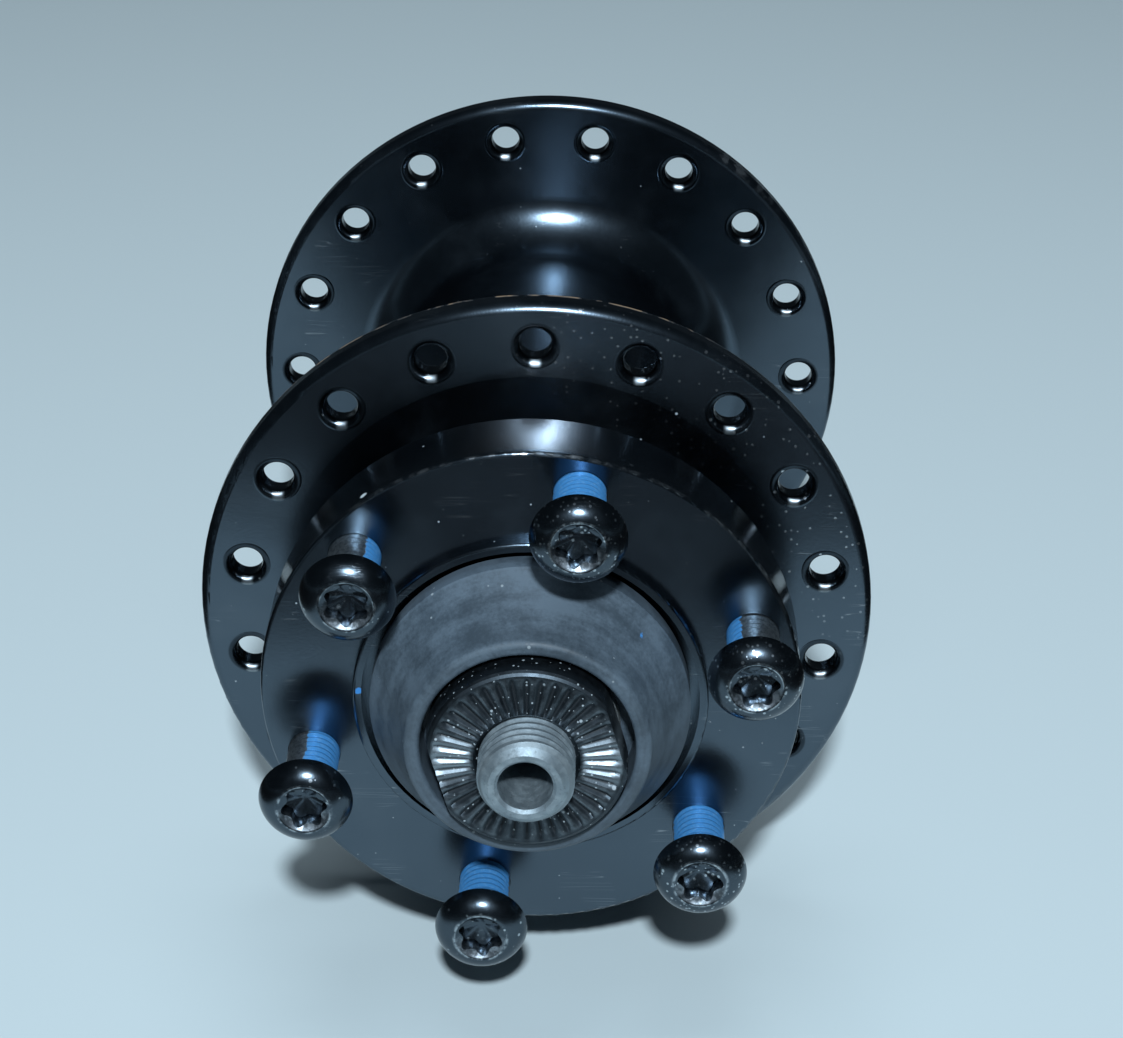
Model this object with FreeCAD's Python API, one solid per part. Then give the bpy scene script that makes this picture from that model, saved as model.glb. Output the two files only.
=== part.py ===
import FreeCAD, Part
import math
import os

os.makedirs("parts", exist_ok=True)

# A bicycle front hub for a six-bolt disc rotor, in millimetres. The axle lies along Y with the
# rotor side towards -Y, +Z is up, and the origin is on the axle halfway between the locknut faces.
# Angles about the axle are in degrees, clockwise from the top as seen from the rotor side.

# Axle
over_locknuts = 100.0
axle_length = 109.0
axle_diameter = 9.0
axle_bore_diameter = 5.1
axle_end_bevel = 1.1
axle_bore_bevel = 0.3
thread_pitch = 1.0
thread_pitch_line_depth = 0.325

# Bearings, the same at both ends
bearing_plane = 31.5
ball_diameter = 4.7625
ball_count = 10
ball_circle_radius = 8.2
race_groove_radius = 2.5
ball_clearance = 0.02
contact_angle = 45.0
race_end_angle = 75.0

# Bearing cup, pressed into the shell
cup_outer_radius = 12.8
cup_hole_radius = 7.2
cup_bottom_thickness = 1.6
cup_lip_above_balls = 2.6
cup_corner_radius = 1.2

# Steel dust cap, pressed in outboard of the cup
dust_cap_height = 3.1
dust_cap_hole_radius = 9.4
dust_cap_sheet = 0.8

# Cone, screwed on the axle
cone_tail_below_balls = 2.6
cone_collar_radius = 8.0
cone_collar_height = 3.4
cone_body_radius = 7.6
cone_across_flats = 13.0
cone_flats_length = 4.2
cone_edge_bevel = 0.3

# Rubber lip seal on the cone's collar
cone_seal_height = 2.4
cone_seal_gap = 0.25
cone_seal_lift = 0.4

# Washer and locknut
washer_thickness = 1.6
washer_radius = 8.6
washer_hole_clearance = 0.05
locknut_radius = 9.5
locknut_thickness = 5.0
locknut_across_flats = 17.0
locknut_edge_bevel = 0.35
locknut_bore_bevel = 0.45
rotor_side_flats_turn = -15.5
far_side_flats_turn = 20.0
serration_count = 40
serration_inner_radius = 5.3
serration_outer_radius = 8.75
serration_inner_width = 0.5
serration_outer_width = 1.05
serration_inner_depth = 0.22
serration_outer_depth = 0.5

# Rubber boot that covers each shell end and stays still on the cone
boot_rim_radius = 15.2
boot_rim_stand_out = 1.1
boot_skirt_depth = 2.3
boot_lip_height = 48.2
boot_lip_outer_radius = 11.4
boot_side_hollow = 0.5
boot_recess_radius = 10.0
boot_floor_thickness = 2.0
boot_wall = 1.5
boot_washer_gap = 0.2

# Shell ends
boot_chamber_radius = 16.1
far_shell_end_height = 40.6
register_height = 1.1
far_collar_radius = 18.2
shell_bore_radius = 10.0
edge_rounding = 0.3

# Spoke flanges
flange_radius = 33.6
flange_thickness = 3.0
flange_rim_rounding = 0.95
rotor_side_flange_face = 22.4
far_flange_face = 37.5
spoke_hole_count = 18
spoke_edge_distance = 4.35
spoke_hole_diameter = 3.1
spoke_hole_flare = 0.85
rotor_side_hole_turn = 0.0
far_hole_turn = 10.0

# Shell body between and beside the flanges
barrel_radius = 16.8
near_root_rounding = 6.0
far_root_rounding = 5.0
neck_radius = 18.6
neck_rounding = 1.4

# Rotor mount
rotor_face = 38.4
rotor_plate_thickness = 7.5
rotor_plate_radius = 25.8
rotor_plate_edge_rounding = 0.35
rotor_register_radius = 16.95
rotor_bolt_circle_radius = 22.0
rotor_bolt_turn = 12.0

# Rotor bolts, backed out by a different amount each, clockwise from the one beside the top
bolt_stand_out = [7.5, 6.7, 6.9, 6.7, 7.2, 6.6]
bolt_diameter = 5.0
bolt_hole_clearance = 0.05
bolt_length = 10.0
bolt_tip_bevel = 0.5
bolt_head_radius = 4.45
bolt_head_seat_radius = 3.9
bolt_head_widest = 0.9
bolt_head_height = 2.8
bolt_head_top_radius = 2.75
bolt_dome_bulge = 0.35
socket_lobes = 6
socket_outer_radius = 2.25
socket_inner_radius = 1.62
socket_depth = 1.9

axis_y = FreeCAD.Vector(0, 1, 0)
origin = FreeCAD.Vector(0, 0, 0)
axle_radius = axle_diameter / 2
ball_radius = ball_diameter / 2
thread_radius = axle_radius - thread_pitch * thread_pitch_line_depth
spoke_circle_radius = flange_radius - spoke_edge_distance
locknut_face = over_locknuts / 2
locknut_back = locknut_face - locknut_thickness
cone_end = locknut_back - washer_thickness
cup_bottom = bearing_plane - race_groove_radius - cup_bottom_thickness
cup_lip = bearing_plane + cup_lip_above_balls
chamber_floor = cup_lip + dust_cap_height
rotor_plate_back = rotor_face - rotor_plate_thickness
rotor_shell_end_height = rotor_face + register_height
boot_rim_height = rotor_shell_end_height + boot_rim_stand_out


def point(radius, along):
    return FreeCAD.Vector(radius, along, 0)


def towards(angle):
    """Unit vector in a lengthwise section, from the radial direction towards +Y."""
    turn = math.radians(angle)
    return FreeCAD.Vector(math.cos(turn), math.sin(turn), 0)


def arc_between(start, end, bulge):
    """An arc whose middle stands out from the chord by bulge, to the left of the way it runs."""
    chord = end - start
    left = FreeCAD.Vector(-chord.y, chord.x, 0).normalize()
    return Part.Arc(start, (start + end) * 0.5 + left * bulge, end).toShape()


def corner_arc(before, corner, after, radius):
    """The arc that rounds a corner, and the points where it meets the two straight sides."""
    back = (before - corner).normalize()
    ahead = (after - corner).normalize()
    half = math.acos(max(-1.0, min(1.0, back.dot(ahead)))) / 2
    reach = radius / math.tan(half)
    middle = (back + ahead).normalize() * (radius / math.sin(half) - radius)
    start = corner + back * reach
    end = corner + ahead * reach
    return start, corner + middle, end


def closed_outline(corners):
    """A closed wire through (radius, along) corners; a third value rounds that corner."""
    places = [point(c[0], c[1]) for c in corners]
    rounding = [c[2] if len(c) > 2 else 0.0 for c in corners]
    pieces = []
    joints = []
    for i, place in enumerate(places):
        if rounding[i]:
            after = places[(i + 1) % len(places)]
            start, middle, end = corner_arc(places[i - 1], place, after, rounding[i])
            pieces.append(Part.Arc(start, middle, end).toShape())
            joints.append((start, end))
        else:
            pieces.append(None)
            joints.append((place, place))
    edges = []
    for i in range(len(places)):
        if pieces[i]:
            edges.append(pieces[i])
        leave = joints[i][1]
        arrive = joints[(i + 1) % len(places)][0]
        if leave.distanceToPoint(arrive) > 1e-6:
            edges.append(Part.LineSegment(leave, arrive).toShape())
    return Part.Wire(edges)


def turned(wire):
    """The solid that a closed outline sweeps when it turns once about the axle."""
    solid = Part.Face(wire).revolve(origin, axis_y, 360)
    if solid.Volume < 0:
        solid.reverse()
    return solid


def turned_about_axle(shape, angle):
    copy = shape.copy()
    copy.rotate(origin, axis_y, angle)
    return copy


def ring_of(shape, count, first_angle):
    return [turned_about_axle(shape, first_angle + 360.0 * i / count) for i in range(count)]


def rod_along_axle(radius, start, end, circle_radius=0.0):
    """A round bar along Y whose centre stands above the axle by circle_radius."""
    return Part.makeCylinder(radius, end - start, FreeCAD.Vector(0, start, circle_radius), axis_y)


def with_two_flats(shape, across_flats, start, end, turn=0.0):
    """Cuts two parallel flats, square to X before they are turned about the axle."""
    size = 4 * locknut_radius
    for side in (-1, 1):
        low = across_flats / 2 if side > 0 else -across_flats / 2 - size
        block = Part.makeBox(size, end - start, size, FreeCAD.Vector(low, start, -size / 2))
        shape = shape.cut(turned_about_axle(block, turn))
    return shape


def save(name, shape):
    shape.exportStep("parts/" + name + ".step")


def save_both_ends(name, shape):
    """The far end's piece stands at +Y, and the rotor side's is its mirror image."""
    save("far_side_" + name, shape)
    save("rotor_side_" + name, shape.mirror(origin, axis_y))


def flared_drill(face, back):
    """A spoke hole's drill between two planes, with the hole's edges rounded at both faces."""
    hole = spoke_hole_diameter / 2
    wide = hole + spoke_hole_flare
    bulge = spoke_hole_flare * (1 - math.cos(math.radians(45)))
    corners = [
        point(0, face),
        point(wide, face),
        point(hole, face + spoke_hole_flare),
        point(hole, back - spoke_hole_flare),
        point(wide, back),
        point(0, back),
    ]
    edges = [
        Part.LineSegment(corners[0], corners[1]).toShape(),
        arc_between(corners[1], corners[2], bulge),
        Part.LineSegment(corners[2], corners[3]).toShape(),
        arc_between(corners[3], corners[4], bulge),
        Part.LineSegment(corners[4], corners[5]).toShape(),
        Part.LineSegment(corners[5], corners[0]).toShape(),
    ]
    drill = turned(Part.Wire(edges))
    drill.translate(FreeCAD.Vector(0, 0, spoke_circle_radius))
    return drill


def hub_shell():
    near_out = -rotor_side_flange_face
    near_in = near_out + flange_thickness
    far_in = far_flange_face - flange_thickness
    outline = closed_outline([
        (boot_chamber_radius, -rotor_shell_end_height),
        (rotor_register_radius, -rotor_shell_end_height, edge_rounding),
        (rotor_register_radius, -rotor_face),
        (rotor_plate_radius, -rotor_face, rotor_plate_edge_rounding),
        (rotor_plate_radius, -rotor_plate_back, rotor_plate_edge_rounding),
        (neck_radius, -rotor_plate_back, neck_rounding),
        (neck_radius, near_out, neck_rounding),
        (flange_radius, near_out, flange_rim_rounding),
        (flange_radius, near_in, flange_rim_rounding),
        (barrel_radius, near_in, near_root_rounding),
        (barrel_radius, far_in, far_root_rounding),
        (flange_radius, far_in, flange_rim_rounding),
        (flange_radius, far_flange_face, flange_rim_rounding),
        (far_collar_radius, far_flange_face, edge_rounding),
        (far_collar_radius, far_shell_end_height, edge_rounding),
        (boot_chamber_radius, far_shell_end_height),
        (boot_chamber_radius, chamber_floor),
        (cup_outer_radius, chamber_floor),
        (cup_outer_radius, cup_bottom),
        (shell_bore_radius, cup_bottom),
        (shell_bore_radius, -cup_bottom),
        (cup_outer_radius, -cup_bottom),
        (cup_outer_radius, -chamber_floor),
        (boot_chamber_radius, -chamber_floor),
    ])
    near_drill = flared_drill(near_out, near_in)
    far_drill = flared_drill(far_in, far_flange_face)
    bolt_drill = rod_along_axle(
        bolt_diameter / 2 + bolt_hole_clearance,
        -rotor_face,
        -rotor_plate_back + neck_rounding,
        rotor_bolt_circle_radius,
    )
    cuts = ring_of(near_drill, spoke_hole_count, rotor_side_hole_turn)
    cuts += ring_of(far_drill, spoke_hole_count, far_hole_turn)
    cuts += ring_of(bolt_drill, len(bolt_stand_out), rotor_bolt_turn)
    return turned(outline).cut(Part.makeCompound(cuts))


def race_arc(contact, start_angle, end_angle):
    """The part of a race groove between two directions; its closest point lies along contact."""
    ball = point(ball_circle_radius, bearing_plane)
    slack = race_groove_radius - ball_radius - ball_clearance
    centre = ball - towards(contact) * slack
    middle_angle = (start_angle + end_angle) / 2
    stops = [centre + towards(a) * race_groove_radius for a in (start_angle, middle_angle, end_angle)]
    return stops[0], stops[2], Part.Arc(*stops).toShape()


def bearing_cup():
    start, end, race = race_arc(-contact_angle, 0.0, -race_end_angle)
    outer_lip = point(cup_outer_radius, cup_lip)
    inner_lip = point(start.x, cup_lip)
    hole_top = point(cup_hole_radius, end.y)
    hole_bottom = point(cup_hole_radius, cup_bottom)
    outer_bottom = point(cup_outer_radius, cup_bottom)
    round_in, round_middle, round_out = corner_arc(hole_bottom, outer_bottom, outer_lip, cup_corner_radius)
    edges = [
        Part.LineSegment(outer_lip, inner_lip).toShape(),
        Part.LineSegment(inner_lip, start).toShape(),
        race,
        Part.LineSegment(end, hole_top).toShape(),
        Part.LineSegment(hole_top, hole_bottom).toShape(),
        Part.LineSegment(hole_bottom, round_in).toShape(),
        Part.Arc(round_in, round_middle, round_out).toShape(),
        Part.LineSegment(round_out, outer_lip).toShape(),
    ]
    return turned(Part.Wire(edges))


def dust_cap():
    sheet_radius = cup_outer_radius - dust_cap_sheet
    sheet_floor = chamber_floor - dust_cap_sheet
    return turned(closed_outline([
        (cup_outer_radius, cup_lip),
        (cup_outer_radius, chamber_floor, dust_cap_sheet / 2),
        (dust_cap_hole_radius, chamber_floor),
        (dust_cap_hole_radius, sheet_floor),
        (sheet_radius, sheet_floor),
        (sheet_radius, cup_lip),
    ]))


def ball_set():
    ball = Part.makeSphere(ball_radius, FreeCAD.Vector(0, bearing_plane, ball_circle_radius))
    return Part.makeCompound(ring_of(ball, ball_count, 0.0))


def cone():
    start, end, race = race_arc(180.0 - contact_angle, 180.0, 180.0 - race_end_angle)
    tail = bearing_plane - cone_tail_below_balls
    collar_start = end.y + (cone_collar_radius - end.x)
    collar_end = collar_start + cone_collar_height
    corners = [
        end,
        point(cone_collar_radius, collar_start),
        point(cone_collar_radius, collar_end),
        point(cone_body_radius, collar_end),
        point(cone_body_radius, cone_end - cone_edge_bevel),
        point(cone_body_radius - cone_edge_bevel, cone_end),
        point(thread_radius, cone_end),
        point(thread_radius, tail),
        point(start.x - cone_edge_bevel, tail),
        point(start.x, tail + cone_edge_bevel),
        start,
    ]
    edges = [race] + [Part.LineSegment(a, b).toShape() for a, b in zip(corners, corners[1:])]
    body = turned(Part.Wire(edges))
    return with_two_flats(body, cone_across_flats, cone_end - cone_flats_length, cone_end)


def cone_seal():
    """A rubber ring with a thin lip that runs just inside the dust cap's hole."""
    start = bearing_plane + race_groove_radius + cone_seal_lift
    end = start + cone_seal_height
    lip_radius = dust_cap_hole_radius - cone_seal_gap
    body_radius = (cone_collar_radius + lip_radius) / 2
    middle = (start + end) / 2
    return turned(closed_outline([
        (cone_collar_radius, start),
        (body_radius, start),
        (body_radius, middle),
        (lip_radius, end - dust_cap_sheet),
        (lip_radius, end),
        (cone_collar_radius, end),
    ]))


def washer():
    """A plain ring between the cone and the locknut, loose over the axle's thread."""
    hole_radius = axle_radius + washer_hole_clearance
    return turned(closed_outline([
        (hole_radius, cone_end),
        (washer_radius, cone_end),
        (washer_radius, locknut_back),
        (hole_radius, locknut_back),
    ]))


def serration_cutter():
    """A groove along a radius that widens and deepens outwards, open through the locknut's face."""
    rise = locknut_edge_bevel
    ends = []
    for radius, width, depth in (
        (serration_inner_radius, serration_inner_width, serration_inner_depth),
        (serration_outer_radius, serration_outer_width, serration_outer_depth),
    ):
        half = width / 2 * (1 + rise / depth)
        corners = [
            FreeCAD.Vector(-half, locknut_face + rise, radius),
            FreeCAD.Vector(0, locknut_face - depth, radius),
            FreeCAD.Vector(half, locknut_face + rise, radius),
        ]
        ends.append(Part.makePolygon(corners + corners[:1]))
    return Part.makeLoft(ends, True, True)


def locknut(flats_turn):
    body = turned(closed_outline([
        (thread_radius, locknut_back),
        (locknut_radius - locknut_edge_bevel, locknut_back),
        (locknut_radius, locknut_back + locknut_edge_bevel),
        (locknut_radius, locknut_face - locknut_edge_bevel),
        (locknut_radius - locknut_edge_bevel, locknut_face),
        (thread_radius + locknut_bore_bevel, locknut_face),
        (thread_radius, locknut_face - locknut_bore_bevel),
    ]))
    body = body.cut(Part.makeCompound(ring_of(serration_cutter(), serration_count, 0.0)))
    return with_two_flats(body, locknut_across_flats, locknut_back, locknut_face, flats_turn)


def rubber_boot():
    floor_front = cone_end - boot_washer_gap
    floor_back = floor_front - boot_floor_thickness
    skirt_end = boot_rim_height - boot_skirt_depth
    skirt_inner = boot_rim_radius - boot_wall
    recess_outer = boot_recess_radius + boot_wall
    rim = point(boot_rim_radius, boot_rim_height)
    lip = point(boot_lip_outer_radius, boot_lip_height)
    corners = [
        lip,
        point(boot_recess_radius, boot_lip_height),
        point(boot_recess_radius, floor_front),
        point(cone_body_radius, floor_front),
        point(cone_body_radius, floor_back),
        point(recess_outer, floor_back),
        point(recess_outer, boot_lip_height - 3 * boot_wall),
        point(skirt_inner, boot_rim_height),
        point(skirt_inner, skirt_end),
        point(boot_rim_radius, skirt_end),
        rim,
    ]
    edges = [arc_between(rim, lip, boot_side_hollow)]
    edges += [Part.LineSegment(a, b).toShape() for a, b in zip(corners, corners[1:])]
    return turned(Part.Wire(edges))


def axle():
    """The hollow axle; its threads, inside the nuts, are a plain bar at their pitch line."""
    half = axle_length / 2
    bore = axle_bore_diameter / 2
    return turned(closed_outline([
        (bore, axle_bore_bevel - half),
        (bore + axle_bore_bevel, -half),
        (axle_radius - axle_end_bevel, -half),
        (axle_radius, axle_end_bevel - half),
        (axle_radius, -locknut_face),
        (thread_radius, -locknut_face),
        (thread_radius, locknut_face),
        (axle_radius, locknut_face),
        (axle_radius, half - axle_end_bevel),
        (axle_radius - axle_end_bevel, half),
        (bore + axle_bore_bevel, half),
        (bore, half - axle_bore_bevel),
    ]))


def six_lobe_socket(depth):
    """The six-lobed driver recess, cut into a face at Y = 0 towards +Y."""
    step = 360.0 / socket_lobes
    join = (socket_outer_radius + socket_inner_radius) / 2
    edges = []
    for i in range(socket_lobes):
        for radius, middle in ((socket_outer_radius, i * step), (socket_inner_radius, (i + 0.5) * step)):
            start = middle - step / 4
            end = middle + step / 4
            stops = []
            for reach, angle in ((join, start), (radius, middle), (join, end)):
                turn = math.radians(angle)
                stops.append(FreeCAD.Vector(reach * math.sin(turn), 0, reach * math.cos(turn)))
            edges.append(Part.Arc(*stops).toShape())
    return Part.Face(Part.Wire(edges)).extrude(axis_y * depth)


def rotor_bolt(stand_out):
    """A button-head bolt on the axle's line, its head's seat short of the rotor face by stand_out."""
    seat = -rotor_face - stand_out
    tip = seat + bolt_length
    shank = bolt_diameter / 2
    widest = point(bolt_head_radius, seat - bolt_head_widest)
    top = point(bolt_head_top_radius, seat - bolt_head_height)
    corners = [
        top,
        point(0, seat - bolt_head_height),
        point(0, tip),
        point(shank - bolt_tip_bevel, tip),
        point(shank, tip - bolt_tip_bevel),
        point(shank, seat),
        point(bolt_head_seat_radius, seat),
        widest,
    ]
    edges = [arc_between(widest, top, bolt_dome_bulge)]
    edges += [Part.LineSegment(a, b).toShape() for a, b in zip(corners, corners[1:])]
    socket = six_lobe_socket(socket_depth)
    socket.translate(FreeCAD.Vector(0, seat - bolt_head_height, 0))
    return turned(Part.Wire(edges)).cut(socket)


def save_rotor_bolts():
    for i, stand_out in enumerate(bolt_stand_out):
        bolt = rotor_bolt(stand_out)
        bolt.translate(FreeCAD.Vector(0, 0, rotor_bolt_circle_radius))
        angle = rotor_bolt_turn + 360.0 * i / len(bolt_stand_out)
        save("rotor_bolt_" + str(i + 1), turned_about_axle(bolt, angle))


save("hub_shell", hub_shell())
save("axle", axle())
save_both_ends("bearing_cup", bearing_cup())
save_both_ends("dust_cap", dust_cap())
save_both_ends("bearing_balls", ball_set())
save_both_ends("cone", cone())
save_both_ends("cone_seal", cone_seal())
save_both_ends("washer", washer())
save_both_ends("rubber_boot", rubber_boot())
save("far_side_locknut", locknut(far_side_flats_turn))
save("rotor_side_locknut", locknut(-rotor_side_flats_turn).mirror(origin, axis_y))
save_rotor_bolts()
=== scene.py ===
import bpy
import math
from mathutils import Euler, Matrix, Vector


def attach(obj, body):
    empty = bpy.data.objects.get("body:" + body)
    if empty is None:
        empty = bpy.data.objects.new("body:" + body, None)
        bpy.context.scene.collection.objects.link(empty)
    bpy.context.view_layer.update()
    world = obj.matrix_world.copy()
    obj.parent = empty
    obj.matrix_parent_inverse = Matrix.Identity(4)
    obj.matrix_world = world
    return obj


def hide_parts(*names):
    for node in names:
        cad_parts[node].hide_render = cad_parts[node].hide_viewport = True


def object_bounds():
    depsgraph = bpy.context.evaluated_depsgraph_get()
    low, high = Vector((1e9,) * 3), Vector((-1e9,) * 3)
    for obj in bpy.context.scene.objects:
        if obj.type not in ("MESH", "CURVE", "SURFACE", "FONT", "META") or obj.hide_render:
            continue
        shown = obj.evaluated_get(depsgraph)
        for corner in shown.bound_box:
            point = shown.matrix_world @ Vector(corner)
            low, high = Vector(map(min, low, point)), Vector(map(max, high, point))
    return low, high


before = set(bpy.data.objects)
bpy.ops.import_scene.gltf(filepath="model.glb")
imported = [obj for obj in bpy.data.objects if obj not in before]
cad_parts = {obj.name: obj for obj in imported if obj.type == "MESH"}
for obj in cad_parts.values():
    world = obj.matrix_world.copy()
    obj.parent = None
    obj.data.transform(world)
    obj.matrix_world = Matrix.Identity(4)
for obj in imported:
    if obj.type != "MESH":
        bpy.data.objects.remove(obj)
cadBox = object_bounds()

mm = 0.001
boltNames = ["rotor_bolt_%d" % i for i in range(1, 7)]


# Stage: the table, the lamps and the camera at the photograph's angle

cameraLook = {
    "azimuth": 1.143,  # degrees to the right of the axle's line
    "elevation": 27.753,
    "roll": 0.2,
    "place": (7.54, -271.82, 141.885),  # mm
    "lens": 91.745,  # mm, on a sensor of the next width
    "sensorWidth": 36.0,
}

stageLook = {
    "tableColor": (0.60, 0.67, 0.68),
    "tableBack": 1800.0,
    "tableFront": -1200.0,
    "tableHalfWidth": 1500.0,
    "sheetRoughness": 0.65,
    "sheetSpecular": 0.2,
    "cardColor": (0.02, 0.02, 0.02),  # dark cards, seen only as reflections
    "cardLift": 1.0,
    "cardFront": -700.0,  # one in front of the hub
    "cardBack": -103.0,
    "cardHalfWidth": 400.0,
    "cardTurn": 5.0,  # degrees, so that its right side lies nearer
    "sideCardStart": 75.0,  # one left and one right, for the dark edges of the rims
    "sideCardHalfWidth": 300.0,
    "sideCardHalfLength": 400.0,
    "keyPlace": (27.0, -870.0, 800.0),
    "keySize": 80.0,
    "keyPower": 15.0,
    "fillPlace": (0.0, 20.0, 450.0),
    "fillSize": 300.0,
    "fillPower": 0.60,
    "lampColor": (0.85, 1.0, 1.12),
    "roomColor": (0.50, 0.66, 0.80),
    "roomStrength": 0.045,
    "backdropColor": (0.52, 0.60, 0.65),
}


def placeCamera():
    azimuth = math.radians(cameraLook["azimuth"])
    elevation = math.radians(cameraLook["elevation"])
    bpy.ops.object.camera_add()
    camera = bpy.context.object
    camera.name = "photoCamera"
    camera.data.sensor_width = cameraLook["sensorWidth"]
    camera.data.lens = cameraLook["lens"]
    camera.data.clip_start = 0.01
    camera.location = Vector(cameraLook["place"]) * mm
    facing = Euler((math.pi / 2 - elevation, 0.0, azimuth)).to_matrix()
    roll = Euler((0.0, 0.0, math.radians(cameraLook["roll"]))).to_matrix()
    camera.rotation_euler = (facing @ roll).to_euler()
    bpy.context.scene.camera = camera


def addLamp(name, place, size, power):
    bpy.ops.object.light_add(type="AREA")
    lamp = bpy.context.object
    lamp.name = name
    lamp.location = Vector(place) * mm
    lamp.data.shape = "DISK"
    lamp.data.size = size * mm
    lamp.data.energy = power
    lamp.data.color = stageLook["lampColor"]
    lamp.rotation_euler = (-lamp.location).to_track_quat("-Z", "Y").to_euler()
    return lamp


def addSheet(name, front, back, halfWidth, height, color, turn=0.0):
    bpy.ops.mesh.primitive_plane_add(size=1.0, location=(0.0, (front + back) / 2 * mm, height))
    sheet = bpy.context.object
    sheet.name = name
    sheet.scale = (2 * halfWidth * mm, (back - front) * mm, 1.0)
    sheet.rotation_euler.z = math.radians(turn)
    bpy.ops.object.transform_apply(location=True, rotation=True, scale=True)
    material = bpy.data.materials.new(name)
    material.use_nodes = True
    shader = material.node_tree.nodes["Principled BSDF"]
    shader.inputs["Base Color"].default_value = (*color, 1.0)
    shader.inputs["Roughness"].default_value = stageLook["sheetRoughness"]
    shader.inputs["Specular IOR Level"].default_value = stageLook["sheetSpecular"]
    sheet.data.materials.append(material)
    return sheet


def addTable():
    s = stageLook
    height = cadBox[0][2]
    addSheet("tableTop", s["tableFront"], s["tableBack"], s["tableHalfWidth"], height, s["tableColor"])
    lifted = height + s["cardLift"] * mm
    dark = s["cardColor"]
    frontCard = addSheet(
        "darkCard", s["cardFront"], s["cardBack"], s["cardHalfWidth"], lifted, dark, s["cardTurn"]
    )
    cards = [frontCard]
    for name, side in (("leftCard", -1), ("rightCard", 1)):
        reach = s["sideCardHalfLength"]
        card = addSheet(name, -reach, reach, s["sideCardHalfWidth"], lifted, dark)
        for vertex in card.data.vertices:
            vertex.co.x += side * (s["sideCardHalfWidth"] + s["sideCardStart"]) * mm
        cards.append(card)
    for card in cards:
        card.visible_camera = False
        card.visible_diffuse = False
        card.visible_shadow = False
        card.visible_transmission = False


def lightRoom():
    world = bpy.data.worlds.new("room")
    bpy.context.scene.world = world
    world.use_nodes = True
    tree = world.node_tree
    dim = tree.nodes["Background"]
    dim.inputs["Color"].default_value = (*stageLook["roomColor"], 1.0)
    dim.inputs["Strength"].default_value = stageLook["roomStrength"]
    pale = tree.nodes.new("ShaderNodeBackground")
    pale.inputs["Color"].default_value = (*stageLook["backdropColor"], 1.0)
    rays = tree.nodes.new("ShaderNodeLightPath")
    mix = tree.nodes.new("ShaderNodeMixShader")
    tree.links.new(rays.outputs["Is Camera Ray"], mix.inputs["Fac"])
    tree.links.new(dim.outputs["Background"], mix.inputs[1])
    tree.links.new(pale.outputs["Background"], mix.inputs[2])
    tree.links.new(mix.outputs["Shader"], tree.nodes["World Output"].inputs["Surface"])
    addLamp("keyLamp", stageLook["keyPlace"], stageLook["keySize"], stageLook["keyPower"])
    fill = addLamp("fillLamp", stageLook["fillPlace"], stageLook["fillSize"], stageLook["fillPower"])
    fill.visible_glossy = False


placeCamera()
addTable()
lightRoom()
bpy.context.scene.view_settings.view_transform = "Standard"
print("stage set")


# Material helpers: those that add a node return the output that the next node takes

def newMaterial(name):
    material = bpy.data.materials.new(name)
    material.use_nodes = True
    return material, material.node_tree, material.node_tree.nodes["Principled BSDF"]


def feed(tree, socket, value):
    if isinstance(value, bpy.types.NodeSocket):
        tree.links.new(value, socket)
    elif isinstance(value, (tuple, list)) and len(socket.default_value) == 4:
        socket.default_value = (*value[:3], 1.0)
    else:
        socket.default_value = value


def addNode(tree, kind, output, inputs, **settings):
    node = tree.nodes.new("ShaderNode" + kind)
    for name, value in settings.items():
        setattr(node, name, value)
    for name, value in inputs.items():
        feed(tree, node.inputs[name], value)
    return node.outputs[output]


def calc(tree, operation, *values):
    return addNode(tree, "Math", 0, dict(enumerate(values)), operation=operation)


def calcAll(tree, operation, values):
    result = values[0]
    for value in values[1:]:
        result = calc(tree, operation, result, value)
    return result


def times(tree, *values):
    return calcAll(tree, "MULTIPLY", values)


def plus(tree, *values):
    return calcAll(tree, "ADD", values)


def minus(tree, first, second):
    return calc(tree, "SUBTRACT", first, second)


def most(tree, *values):
    return calcAll(tree, "MAXIMUM", values)


def vary(tree, value, low, high, start=0.0, end=1.0):
    sockets = {"Value": value, "From Min": low, "From Max": high, "To Min": start, "To Max": end}
    return addNode(tree, "MapRange", "Result", sockets, interpolation_type="SMOOTHSTEP")


def within(tree, value, low, high, soft):
    rise = vary(tree, value, low - soft, low + soft)
    fall = vary(tree, value, high - soft, high + soft, 1.0, 0.0)
    return times(tree, rise, fall)


def blend(tree, factor, first, second):
    node = tree.nodes.new("ShaderNodeMix")
    node.data_type = "RGBA"
    for index, value in ((0, factor), (6, first), (7, second)):
        feed(tree, node.inputs[index], value)
    return node.outputs[2]


def attributeValue(tree, name):
    return addNode(tree, "Attribute", "Fac", {}, attribute_name=name)


def objectPlace(tree):
    # the point in mm, its distance from the axle's line and its turn from the top, in radians
    coords = addNode(tree, "TexCoord", "Object", {})
    point = addNode(tree, "VectorMath", 0, {0: coords, "Scale": 1 / mm}, operation="SCALE")
    x, y, z = addNode(tree, "SeparateXYZ", "X", {0: point}).node.outputs
    radius = calc(tree, "SQRT", plus(tree, times(tree, x, x), times(tree, z, z)))
    return {"point": point, "x": x, "y": y, "z": z, "radius": radius, "turn": calc(tree, "ARCTAN2", x, z)}


def noise(tree, point, size, detail=4.0, roughness=0.6):
    sockets = {"Vector": point, "Scale": 1 / size, "Detail": detail, "Roughness": roughness}
    return addNode(tree, "TexNoise", 0, sockets)


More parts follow.
